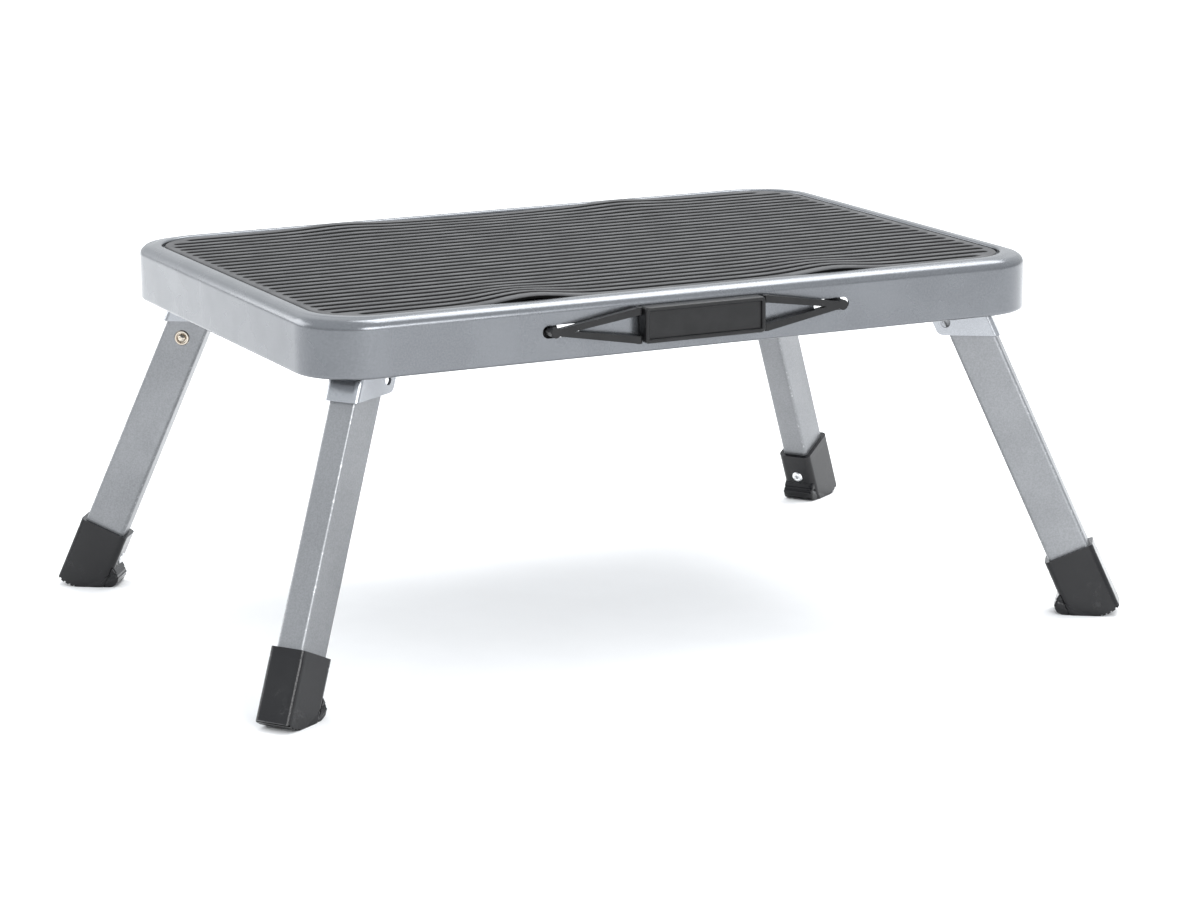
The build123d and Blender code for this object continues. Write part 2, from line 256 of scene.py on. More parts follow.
def make_grain():
    tree, into, out = new_group("grain", {"Scale": 600.0}, {
        "Height": "NodeSocketFloat", "Tone": "NodeSocketFloat"})
    place = object_place(tree)
    plug(tree, noise(tree, place, into["Scale"]), out["Height"])
    coarser = calc(tree, "MULTIPLY", into["Scale"], 0.06)
    broad = noise(tree, place, coarser, detail=2.0)
    plug(tree, ramp(tree, broad, 0.3, 0.7), out["Tone"])
    return tree


# %% Flake
def make_flake():
    tree, into, out = new_group("flake", {"Scale": 900.0}, {"Tone": "NodeSocketFloat"})
    fine = noise(tree, object_place(tree), into["Scale"], detail=2.0, rough=0.7)
    plug(tree, ramp(tree, fine, 0.28, 0.72), out["Tone"])
    return tree


# %% Specks and scuffs
def make_specks():
    tree, into, out = new_group("specks", {"Scale": 60.0, "Size": 0.1, "Share": 0.2},
                                {"Mask": "NodeSocketFloat"})
    cells = tree.nodes.new("ShaderNodeTexVoronoi")
    plug(tree, object_place(tree), cells.inputs["Vector"])
    plug(tree, into["Scale"], cells.inputs["Scale"])
    channels = tree.nodes.new("ShaderNodeSeparateColor")
    plug(tree, cells.outputs["Color"], channels.inputs[0])
    chosen = calc(tree, "LESS_THAN", channels.outputs[1], into["Share"])
    size = calc(tree, "MULTIPLY", channels.outputs[2], into["Size"])
    dot = calc(tree, "LESS_THAN", cells.outputs["Distance"], size)
    plug(tree, calc(tree, "MULTIPLY", chosen, dot), out["Mask"])
    return tree


def make_scuffs():
    tree, into, out = new_group(
        "scuffs", {"Scale": 90.0, "Top": 0.03, "Fade": 0.02, "Share": 0.45},
        {"Mask": "NodeSocketFloat"})
    place = object_place(tree)
    height = tree.nodes.new("ShaderNodeSeparateXYZ")
    plug(tree, place, height.inputs[0])
    cloud = noise(tree, place, into["Scale"], detail=6.0, rough=0.7)
    rubbed = ramp(tree, cloud, calc(tree, "SUBTRACT", 0.95, into["Share"]), 0.72)
    low = calc(tree, "SUBTRACT", into["Top"], into["Fade"])
    near_floor = ramp(tree, height.outputs["Z"], low, into["Top"], 1.0, 0.0)
    plug(tree, calc(tree, "MULTIPLY", rubbed, near_floor), out["Mask"])
    return tree


# %% Painted edge highlight
tube_depth = 26.6 * mm
tube_width = 18.2 * mm


def leg_place(tree):
    """X, Y and Z of the leg's own frame, stored on the mesh as `in_leg`."""
    stored = tree.nodes.new("ShaderNodeAttribute")
    stored.attribute_name = "in_leg"
    split = tree.nodes.new("ShaderNodeSeparateXYZ")
    plug(tree, stored.outputs["Vector"], split.inputs[0])
    return split.outputs


# Widths of the painted highlight along a tube's edges.
widest_highlight = 2.6 * mm
narrowest_highlight = 0.1 * mm


def make_painted_edge_highlight():
    """A painted highlight: a pale line of uneven width where both faces of a tube end."""
    tree, into, out = new_group(
        "painted edge highlight", {"Half depth": tube_depth / 2, "Half width": tube_width / 2},
        {"Mask": "NodeSocketFloat"})
    x, y, _ = leg_place(tree)
    short = [calc(tree, "SUBTRACT", into[name], calc(tree, "ABSOLUTE", v))
             for name, v in (("Half depth", x), ("Half width", y))]
    near = calc(tree, "ADD", short[0], short[1])
    patchy = noise(tree, object_place(tree), 420.0, rough=0.7)
    limit = calc(tree, "MULTIPLY_ADD", patchy, widest_highlight, narrowest_highlight)
    line = ramp(tree, near, calc(tree, "MULTIPLY", limit, 0.6), limit, 0.75, 0.0)
    plug(tree, line, out["Mask"])
    return tree


grain, flake, specks, scuffs = make_grain(), make_flake(), make_specks(), make_scuffs()
painted_edge_highlight = make_painted_edge_highlight()
print("shared groups", [g.name for g in (grain, flake, specks, scuffs, painted_edge_highlight)])

# %% [markdown]
# ## Painted steel
#
# The tray, the brackets and the legs carry silver paint: metal flakes under a
# thin clear layer. A Principled shader with high Metallic and a low to medium
# Roughness gives the soft metal look, and its coat gives the sharper highlight
# on top. A slow noise in the bump stands for the slight waves of pressed
# sheet. The legs are duller, with less coat and a fine grain in their bump,
# and a pale painted highlight runs along their edges.

# %% Paint
def start_finish(name):
    material = bpy.data.materials.new(name)
    material.use_nodes = True
    tree = material.node_tree
    return material, tree, tree.nodes["Principled BSDF"]


def bump(tree, height, strength, distance):
    node = tree.nodes.new("ShaderNodeBump")
    node.inputs["Strength"].default_value = strength
    node.inputs["Distance"].default_value = distance
    plug(tree, height, node.inputs["Height"])
    return node.outputs["Normal"]


bump_height = 1.6 * mm


def paint(name, light, dark, *, metallic=0.9, roughness, coat, wave,
          speck_share=0.0, sand=0.0):
    """Silver paint. `wave` is the scale of its slow unevenness, `sand` the height
    of its grain, and `speck_share` the share of spots that carry a dark speck.
    Any speck_share also brings a pale painted highlight along the tube's edges."""
    material, tree, shader = start_finish(name)
    sparkle = use_group(tree, flake, scale=950.0)
    cloud = use_group(tree, grain, scale=420.0)
    cloudy = calc(tree, "MULTIPLY_ADD", cloud["Tone"], 0.3,
                  calc(tree, "MULTIPLY", sparkle["Tone"], 0.7))
    colour = blend_colour(tree, cloudy, (*light, 1), (*dark, 1))
    if speck_share:
        dots = use_group(tree, specks, scale=70.0, size=0.06, share=speck_share)
        colour = blend_colour(tree, dots["Mask"], colour, (0.07, 0.065, 0.06, 1))
        # Painted highlight: a pale line along the tube's edges, where the light catches
        # them, mixed over the paint.
        rubbed = use_group(tree, painted_edge_highlight)
        colour = blend_colour(tree, rubbed["Mask"], colour, (0.62, 0.63, 0.64, 1))
    plug(tree, colour, shader.inputs["Base Color"])
    shader.inputs["Metallic"].default_value = metallic
    plug(tree, calc(tree, "MULTIPLY_ADD", cloud["Tone"], 0.05, roughness),
         shader.inputs["Roughness"])
    shader.inputs["Coat Weight"].default_value = coat
    shader.inputs["Coat Roughness"].default_value = 0.12
    slow = noise(tree, object_place(tree), wave, detail=1.0)
    height = calc(tree, "MULTIPLY_ADD", sparkle["Tone"], sand / bump_height, slow)
    plug(tree, bump(tree, height, strength=0.3, distance=bump_height),
         shader.inputs["Normal"])
    return material


finishes = {
    "tray_paint": paint(
        "silver_tray_paint", (0.166, 0.173, 0.185), (0.126, 0.132, 0.142),
        roughness=0.25, coat=0.22, wave=11.0),
    "bracket_paint": paint(
        "silver_bracket_paint", (0.34, 0.352, 0.372), (0.28, 0.29, 0.308),
        roughness=0.20, coat=0.45, wave=30.0),
    "leg_paint": paint(
        "silver_leg_paint", (0.262, 0.268, 0.278), (0.196, 0.201, 0.209),
        metallic=0.85, roughness=0.38, coat=0.08, wave=20.0,
        speck_share=0.10, sand=0.05 * mm),
    "stiffener_paint": paint(
        "silver_stiffener_paint", (0.27, 0.28, 0.29), (0.22, 0.23, 0.24),
        roughness=0.36, coat=0.1, wave=20.0),
}
print("paints", sorted(finishes))

# %% [markdown]
# ## Rubber and plastic
#
# The mat is a matt grey-black rubber. Its colour follows the attribute `rib`
# that the mat's own mesh stores: the rib tops keep the rubber's grey, and the
# grooves and their walls are painted near black as shade. The boots are a
# shinier black rubber, scuffed near the floor. The handle is moulded plastic
# with a fine spark texture. All three are dielectrics: dark colour, Metallic
# at zero, and a roughness that varies with the grain.

# %% Rubber and plastic
def mat_rubber():
    material, tree, shader = start_finish("ribbed_mat_rubber")
    rib = tree.nodes.new("ShaderNodeAttribute")
    rib.attribute_name = "rib"
    fine = use_group(tree, grain, scale=900.0)
    dust = use_group(tree, specks, scale=160.0, size=0.10, share=0.12)
    top = blend_colour(tree, fine["Tone"],
                       (0.085, 0.085, 0.087, 1), (0.120, 0.120, 0.122, 1))
    # Painted shade: the grooves and their walls are near black, and only the rib tops
    # keep the rubber's grey.
    crown = ramp(tree, rib.outputs["Fac"], 0.62, 1.0)
    colour = blend_colour(tree, crown, (0.001, 0.001, 0.001, 1), top)
    plug(tree, blend_colour(tree, dust["Mask"], colour, (0.10, 0.098, 0.095, 1)),
         shader.inputs["Base Color"])
    plug(tree, calc(tree, "MULTIPLY_ADD", fine["Tone"], 0.12, 0.66),
         shader.inputs["Roughness"])
    shader.inputs["Specular IOR Level"].default_value = 0.08
    plug(tree, bump(tree, fine["Height"], strength=0.3, distance=0.4 * mm),
         shader.inputs["Normal"])
    return material


def foot_rubber():
    material, tree, shader = start_finish("boot_rubber")
    fine = use_group(tree, grain, scale=700.0)
    rubbed = use_group(tree, scuffs, scale=110.0, top=0.034, fade=0.026, share=0.42)
    dark = blend_colour(tree, fine["Tone"],
                        (0.003, 0.003, 0.004, 1), (0.006, 0.006, 0.007, 1))
    plug(tree, blend_colour(tree, rubbed["Mask"], dark, (0.020, 0.020, 0.021, 1)),
         shader.inputs["Base Color"])
    wear = calc(tree, "MULTIPLY_ADD", rubbed["Mask"], 0.22, 0.15)
    shader.inputs["Specular IOR Level"].default_value = 0.36
    plug(tree, calc(tree, "MULTIPLY_ADD", fine["Tone"], 0.08, wear),
         shader.inputs["Roughness"])
    plug(tree, bump(tree, fine["Height"], strength=0.22, distance=0.4 * mm),
         shader.inputs["Normal"])
    return material


def handle_plastic():
    material, tree, shader = start_finish("handle_plastic")
    fine = use_group(tree, grain, scale=1500.0)
    dust = use_group(tree, specks, scale=260.0, size=0.08, share=0.10)
    dark = blend_colour(tree, fine["Tone"],
                        (0.0035, 0.0035, 0.004, 1), (0.007, 0.007, 0.0075, 1))
    plug(tree, blend_colour(tree, dust["Mask"], dark, (0.06, 0.06, 0.06, 1)),
         shader.inputs["Base Color"])
    plug(tree, calc(tree, "MULTIPLY_ADD", fine["Tone"], 0.1, 0.33),
         shader.inputs["Roughness"])
    shader.inputs["Specular IOR Level"].default_value = 0.30
    plug(tree, bump(tree, fine["Height"], strength=0.35, distance=0.3 * mm),
         shader.inputs["Normal"])
    return material


dielectrics = dict(mat_rubber=mat_rubber(), foot_rubber=foot_rubber(),
                   handle_plastic=handle_plastic())
finishes.update(dielectrics)
print("rubber and plastic", sorted(dielectrics))

# %% [markdown]
# ## Bare metal
#
# The rivets are soft aluminium, the push buttons are nickel plated, and the
# pins and springs are zinc and spring steel. Bare metal is Metallic 1 with a
# tint in Base Color; fine turning marks and handling show as small changes in
# roughness.

# %% Bare metal
def bare_metal(name, light, dark, roughness, scale):
    material, tree, shader = start_finish(name)
    fine = use_group(tree, grain, scale=scale)
    plug(tree, blend_colour(tree, fine["Tone"], (*light, 1), (*dark, 1)),
         shader.inputs["Base Color"])
    shader.inputs["Metallic"].default_value = 1.0
    plug(tree, calc(tree, "MULTIPLY_ADD", fine["Tone"], 0.12, roughness),
         shader.inputs["Roughness"])
    plug(tree, bump(tree, fine["Height"], strength=0.2, distance=0.2 * mm),
         shader.inputs["Normal"])
    return material


finishes.update(
    rivet_aluminium=bare_metal(
        "rivet_aluminium", (0.91, 0.92, 0.93), (0.78, 0.79, 0.80),
        roughness=0.30, scale=1800),
    button_nickel=bare_metal(
        "button_nickel", (0.62, 0.56, 0.48), (0.42, 0.36, 0.30),
        roughness=0.20, scale=900),
    pin_steel=bare_metal(
        "pin_zinc", (0.66, 0.67, 0.68), (0.52, 0.53, 0.53),
        roughness=0.32, scale=1200),
    spring_steel=bare_metal(
        "spring_steel", (0.42, 0.42, 0.43), (0.30, 0.30, 0.32),
        roughness=0.36, scale=1500),
)
for part, slot in ((n, o.data.materials[0].name) for n, o in nodes.items()):
    nodes[part].material_slots[0].material = finishes[slot.split(".")[0]]

floor_paper, floor_tree, floor_shader = start_finish("floor_paper")
paper = use_group(floor_tree, grain, scale=300.0)
plug(floor_tree, blend_colour(floor_tree, paper["Tone"], (0.97, 0.97, 0.97, 1),
                              (0.95, 0.95, 0.95, 1)), floor_shader.inputs["Base Color"])
floor_shader.inputs["Roughness"].default_value = 0.9
floor_mesh.materials.append(floor_paper)
print("finishes", len(finishes))

# %% [markdown]
# ## Tools for meshes
#
# `loft` joins rings of points into a closed skin, `lathe` turns a profile
# round an axis, and `soften` takes a copy of an engineering part, merges its
# loose triangles and rounds its sharp edges, because no real edge is
# perfectly sharp and the rounding is what catches the light. `stand_for` gives
# a finished piece its place in the stool: its finish, the node it replaces and
# the body it rides on.

# %% Mesh helpers
def new_piece(name, mesh, sharp=35):
    mesh.set_sharp_from_angle(angle=math.radians(sharp))
    piece = bpy.data.objects.new(name, mesh)
    scene.collection.objects.link(piece)
    return piece


def stand_for(piece, slot, *replaced):
    """Finish, replaced nodes and body of a piece, taken from its first node."""
    piece.data.materials.clear()
    piece.data.materials.append(finishes[slot])
    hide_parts(*replaced)
    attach(piece, nodes[replaced[0]]["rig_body"])


def loft(name, rings, sharp=35):
    """Closed skin through rings of equal count, with both ends capped."""
    count = len(rings[0])
    points = [p for ring in rings for p in ring]
    faces = []
    for a in range(len(rings) - 1):
        for k in range(count):
            n = (k + 1) % count
            faces.append((a * count + k, a * count + n,
                          (a + 1) * count + n, (a + 1) * count + k))
    faces.append(tuple(reversed(range(count))))
    faces.append(tuple(range(len(points) - count, len(points))))
    mesh = bpy.data.meshes.new(name)
    mesh.from_pydata(points, [], faces)
    outward(mesh)
    mesh.shade_smooth()
    return new_piece(name, mesh, sharp)


def outward(mesh, merge=1e-6):
    """Merges doubles, then turns every face of the closed mesh outwards."""
    work = bmesh.new()
    work.from_mesh(mesh)
    bmesh.ops.remove_doubles(work, verts=work.verts, dist=merge)
    bmesh.ops.recalc_face_normals(work, faces=work.faces)
    work.to_mesh(mesh)
    work.free()


def lathe(name, profile, steps=48):
    """Turns (radius, height) points round Z; a radius of 0 closes a pole."""
    turns = [2 * math.pi * k / steps for k in range(steps)]
    return loft(name, [[(r * math.cos(a), r * math.sin(a), z) for a in turns]
                       for r, z in profile])


weld = 0.002 * mm  # corners of the engineering mesh nearer than this are one
same_plane = math.radians(0.6)
rounded_from = math.radians(38)  # edges sharper than this are rounded


def soften(node, width, segments=2):
    """A copy of an engineering part with its sharp edges rounded."""
    source = nodes[node]
    mesh = source.data.copy()
    mesh.name = "soft_" + node
    work = bmesh.new()
    work.from_mesh(mesh)
    bmesh.ops.remove_doubles(work, verts=work.verts, dist=weld)
    bmesh.ops.dissolve_limit(work, angle_limit=same_plane, verts=work.verts,
                             edges=work.edges)
    work.to_mesh(mesh)
    work.free()
    for name in ("custom_normal", "sharp_edge", "sharp_face"):
        if name in mesh.attributes:
            mesh.attributes.remove(mesh.attributes[name])
    mesh.shade_smooth()
    piece = new_piece("soft_" + node, mesh, 30)
    bevel = piece.modifiers.new("edge", "BEVEL")
    bevel.width = width
    bevel.segments = segments
    bevel.limit_method = "ANGLE"
    bevel.angle_limit = rounded_from
    bevel.harden_normals = True
    bevel.use_clamp_overlap = True
    return piece


# %% [markdown]
# ## The tray
#
# The tray is one pressing: a flat panel set down inside a raised, rolled rim,
# a skirt and a small hem turned in along the bottom. Seen from above
# every level is the same rounded rectangle, only nearer to the middle or
# further out. So the tray is a loft of rounded rectangles along the section of
# the sheet. Each rounding is an arc of rings, with one extra ring on the flat
# beside it, which keeps the smooth shading of the arc off the flat sheet.

# %% Tray sizes
tray_low, tray_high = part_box("platform_tray")
tray_half = Vector((tray_high.x, tray_high.y))
tray_top, skirt_bottom = tray_high.z, tray_low.z
plan_corner = 38.0 * mm
recess_corner = 34.0 * mm
sheet = 1.5 * mm
edge_in = 8.8 * mm
edge_down = 6.6 * mm
rim_width = 12.0 * mm
recess_depth = 3.5 * mm
recess_edge = 1.4 * mm
recess_foot = 0.9 * mm
hem_width = 5.0 * mm
hem_round = 1.9 * mm
panel_top = tray_top - recess_depth
guard = 0.35 * mm  # from an arc's end to the extra ring on the flat beside it
print("tray", [round(v / mm, 1) for v in (*tray_half, tray_top, skirt_bottom)])


# %% Tray section and loft
def rounded_ring(inset, z, steps=14):
    """Rounded rectangle, anticlockwise, its inset measured from the skirt."""
    outside = inset < edge_in / 2
    reach = plan_corner if outside else recess_corner + rim_width
    radius = reach - inset
    ring = []
    for quarter, (sx, sy) in enumerate(((1, 1), (-1, 1), (-1, -1), (1, -1))):
        cx = sx * (tray_half.x - reach)
        cy = sy * (tray_half.y - reach)
        for k in range(steps + 1):
            a = math.pi / 2 * (quarter + k / steps)
            ring.append((cx + radius * math.cos(a), cy + radius * math.sin(a), z))
    return ring


def arc(centre, radii, start, end, steps):
    """Section points round a centre, angles in degrees, 0 towards the inside."""
    turns = [math.radians(start + (end - start) * k / steps) for k in range(steps + 1)]
    return [(centre[0] + radii[0] * math.cos(a), centre[1] + radii[1] * math.sin(a))
            for a in turns]


def tray_section():
    wall = rim_width
    top = [(wall + recess_foot + guard, panel_top)]
    top += arc((wall + recess_foot, panel_top + recess_foot),
               (recess_foot, recess_foot), 270, 180, 4)
    top += arc((wall - recess_edge, tray_top - recess_edge),
               (recess_edge, recess_edge), 0, 90, 6)
    outer = arc((edge_in, tray_top - edge_down), (edge_in, edge_down), 90, 180, 14)
    outer += [(0, tray_top - edge_down - guard), (0, skirt_bottom + hem_round + guard)]
    hem = arc((hem_round, skirt_bottom + hem_round),
              (hem_round, hem_round), 180, 270, 5)
    hem += [(hem_round + guard, skirt_bottom), (hem_width, skirt_bottom),
            (hem_width, skirt_bottom + sheet), (sheet, skirt_bottom + sheet)]
    under = arc((edge_in, tray_top - edge_down),
                (edge_in - sheet, edge_down - sheet), 180, 90, 6)
    under += [(wall - sheet, tray_top - sheet), (wall - sheet, panel_top - sheet),
              (wall + 2 * sheet, panel_top - sheet)]
    return top + outer + hem + under


tray = loft("tray", [rounded_ring(inset, z) for inset, z in tray_section()])
print("tray faces", len(tray.data.polygons))

# %% [markdown]
# ## The handle slots
#
# Two slots in the front of the skirt let the ends of the handle through. A
# Boolean with a rounded cutter punches each of them and leaves a sharp edge, as
# a press tool does. The result is turned into a plain mesh, because the
# cutter must not stay in the scene.

# %% Handle slots
slot_centre = 89.0 * mm
slot_size = Vector((24.0, 7.5)) * mm
handle_z = (tray_top + skirt_bottom) / 2
cutter_ends = (tray_low.y - 5 * mm, tray_low.y + 4 * mm)


def slot_cutter(side):
    """Two rings of a rounded bar that passes through the front of the skirt."""
    radius = slot_size.y / 2
    run = slot_size.x / 2 - radius
    ring = []
    for sign, first in ((1, -90), (-1, 90)):
        for k in range(13):
            a = math.radians(first + 15 * k)
            ring.append((side * slot_centre + sign * run + radius * math.cos(a),
                         handle_z + radius * math.sin(a)))
    return [[(x, y, z) for x, z in ring] for y in cutter_ends]


def as_plain_mesh(piece):
    """Applies a piece's modifiers and leaves an ordinary mesh."""
    graph = bpy.context.evaluated_depsgraph_get()
    mesh = bpy.data.meshes.new_from_object(piece.evaluated_get(graph), depsgraph=graph,
                                           preserve_all_data_layers=True)
    piece.modifiers.clear()
    piece.data = mesh
    return piece


for side in (-1, 1):
    cutter = loft("slot_cutter", slot_cutter(side))
    cut = tray.modifiers.new("slot", "BOOLEAN")
    cut.operation = "DIFFERENCE"
    cut.solver = "EXACT"
    cut.object = cutter
    as_plain_mesh(tray)
    bpy.data.objects.remove(cutter)
tray.data.set_sharp_from_angle(angle=math.radians(35))
stand_for(tray, "tray_paint", "platform_tray")
print("tray with slots", len(tray.data.polygons))

# %% [markdown]
# ## The ribbed mat
#
# The mat is a moulded rubber sheet with 27 long grooves that stop short of a
# plain border. It has been folded and no longer lies quite flat: its front
# and back edges lift in short flutes, and the grooves wander a little.
# The base is a closed slab whose columns keep their distance from the
# rounded outline, so every groove end lands on fine geometry. A Geometry Nodes
# tree with named sizes then presses the grooves in and lifts the flutes, and
# it stores `rib`, which the rubber's colour reads.

# %% Mat base
mat_low, mat_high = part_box("anti_slip_mat")
mat_half = Vector((mat_high.x, mat_high.y))
mat_corner = 32.0 * mm
mat_border = 5.1 * mm
groove_pitch = 11.3 * mm
groove_width = 4.8 * mm
groove_count = 27
border_steps = [d * mm for d in (0, 0.25, 0.8, 2.2, 3.6, 4.5, 5.0, 5.5, 6.1, 6.8,
                                 7.6, 9, 12)]
border_rows = 6  # of these steps, the ones that also become rows
wall_steps = [d * mm for d in (-1.6, -0.8, 0, 0.8, 1.6)]


def mat_rows():
    """Values of y: fine at the border and at both walls of every groove."""
    rows = [-mat_half.y + d for d in border_steps[:border_rows]]
    wall = groove_width / 2
    for k in range(groove_count):
        y = (k - (groove_count - 1) / 2) * groove_pitch
        rows += [y + step - wall for step in wall_steps]
        rows.append(y)
        rows += [y + step + wall for step in wall_steps]
        if k < groove_count - 1:
            rows.append(y + groove_pitch / 2)
    rows += [mat_half.y - d for d in reversed(border_steps[:border_rows])]
    return sorted(rows)


def half_length(y):
    """Half the mat's length at this y, shorter beside its rounded corners."""
    over = max(abs(y) - (mat_half.y - mat_corner), 0)
    return mat_half.x - mat_corner + math.sqrt(max(mat_corner ** 2 - over ** 2, 0))


def mat_columns(y, inner=60):
    """Values of x along one row, the same count in every row."""
    reach = half_length(y)
    last = border_steps[-1]
    middle = [(-1 + 2 * k / inner) * (reach - last) for k in range(1, inner)]
    return ([-reach + d for d in border_steps] + middle
            + [reach - d for d in reversed(border_steps)])


def mat_base():
    """The closed slab, with each point's inset from the outline and top or not."""
    rows = mat_rows()
    points, insets = [], []
    for z in (mat_high.z, mat_low.z):
        for y in rows:
            reach = half_length(y)
            for x in mat_columns(y):
                points.append((x, y, z))
                insets.append(min(reach - abs(x), mat_half.y - abs(y)))
    width = len(mat_columns(0))
    level = len(rows) * width
    faces = []
    for r in range(len(rows) - 1):
        for c in range(width - 1):
            a, b = r * width + c, (r + 1) * width + c
            faces.append((a, a + 1, b + 1, b))
            faces.append((level + a, level + b, level + b + 1, level + a + 1))
    loop = list(range(width))
    loop += [r * width + width - 1 for r in range(1, len(rows))]
    loop += [(len(rows) - 1) * width + c for c in reversed(range(width - 1))]
    loop += [r * width for r in reversed(range(1, len(rows) - 1))]
    for a, b in zip(loop, loop[1:] + loop[:1]):
        faces.append((a, level + a, level + b, b))
    mesh = bpy.data.meshes.new("mat_base")
    mesh.from_pydata(points, [], faces)
    mesh.attributes.new("inset", "FLOAT", "POINT").data.foreach_set("value", insets)
    top = [1.0] * level + [0.0] * level
    mesh.attributes.new("top", "FLOAT", "POINT").data.foreach_set("value", top)
    return mesh


# %% Mat tree
def named(tree, name):
    node = tree.nodes.new("GeometryNodeInputNamedAttribute")
    node.data_type = "FLOAT"
    node.inputs["Name"].default_value = name
    return node.outputs["Attribute"]


def bell(tree, value, centre, width):
    """exp(-((value - centre) / width)^2)"""
    off = calc(tree, "DIVIDE", calc(tree, "SUBTRACT", value, centre), width)
    square_off = calc(tree, "MULTIPLY", off, off)
    return calc(tree, "EXPONENT", calc(tree, "MULTIPLY", square_off, -1))


def groove_mask(tree, into, x, y):
    """1 in a groove, 0 on a rib: the distance to the nearest groove's slot."""
    most = calc(tree, "DIVIDE", calc(tree, "SUBTRACT", into["Grooves"], 1), 2)
    index = calc(tree, "ROUND", calc(tree, "DIVIDE", y, into["Pitch"]))
    index = calc(tree, "MINIMUM", calc(tree, "MAXIMUM", index,
                                       calc(tree, "MULTIPLY", most, -1)), most)
    middle = calc(tree, "MULTIPLY", index, into["Pitch"])
    wall = calc(tree, "DIVIDE", into["Width"], 2)
    inner = calc(tree, "SUBTRACT", into["Corner"], into["Border"])
    far_wall = calc(tree, "ADD", calc(tree, "ABSOLUTE", middle), wall)
    over = calc(tree, "SUBTRACT", far_wall,
                calc(tree, "SUBTRACT", into["Half width"], into["Corner"]))
    over = calc(tree, "MAXIMUM", over, 0)
    left = calc(tree, "MAXIMUM", calc(tree, "SUBTRACT", calc(tree, "POWER", inner, 2),
                                      calc(tree, "POWER", over, 2)), 0)
    pulled = calc(tree, "SUBTRACT", inner, calc(tree, "SQRT", left))
    half = calc(tree, "SUBTRACT", calc(tree, "SUBTRACT", into["Half length"],
                                       into["Border"]), pulled)
    beyond = calc(tree, "SUBTRACT", calc(tree, "ABSOLUTE", x),
                  calc(tree, "SUBTRACT", half, wall))
    beyond = calc(tree, "MAXIMUM", beyond, 0)
    across = calc(tree, "SUBTRACT", y, middle)
    across = calc(tree, "ABSOLUTE", across)
    distance = calc(tree, "SQRT", calc(tree, "ADD", calc(tree, "POWER", beyond, 2),
                                       calc(tree, "POWER", across, 2)))
    slope = into["Wall slope"]
    return ramp(tree, distance, calc(tree, "SUBTRACT", wall, slope),
                calc(tree, "ADD", wall, slope), 1.0, 0.0)


def flutes(tree, into, x, y):
    """Lift of the free edges: four short waves that die out inwards."""
    total = 0.0
    for sx, sy, share in ((-1, -1, 1.0), (1, -1, 0.8), (-1, 1, 0.45), (1, 1, 0.45)):
        hump = bell(tree, x, calc(tree, "MULTIPLY", into["Flute place"], sx),
                    into["Flute spread"])
        inward = calc(tree, "SUBTRACT", into["Half width"],
                      calc(tree, "MULTIPLY", y, sy))
        fade = bell(tree, inward, 0.0, into["Flute reach"])
        one = calc(tree, "MULTIPLY", calc(tree, "MULTIPLY", hump, fade), share)
        total = calc(tree, "ADD", total, one)
    return calc(tree, "MULTIPLY", total, into["Flute height"])


drift_scale = 9.0
still_border = 30 * mm  # the grooves wander fully only this far in from the outline


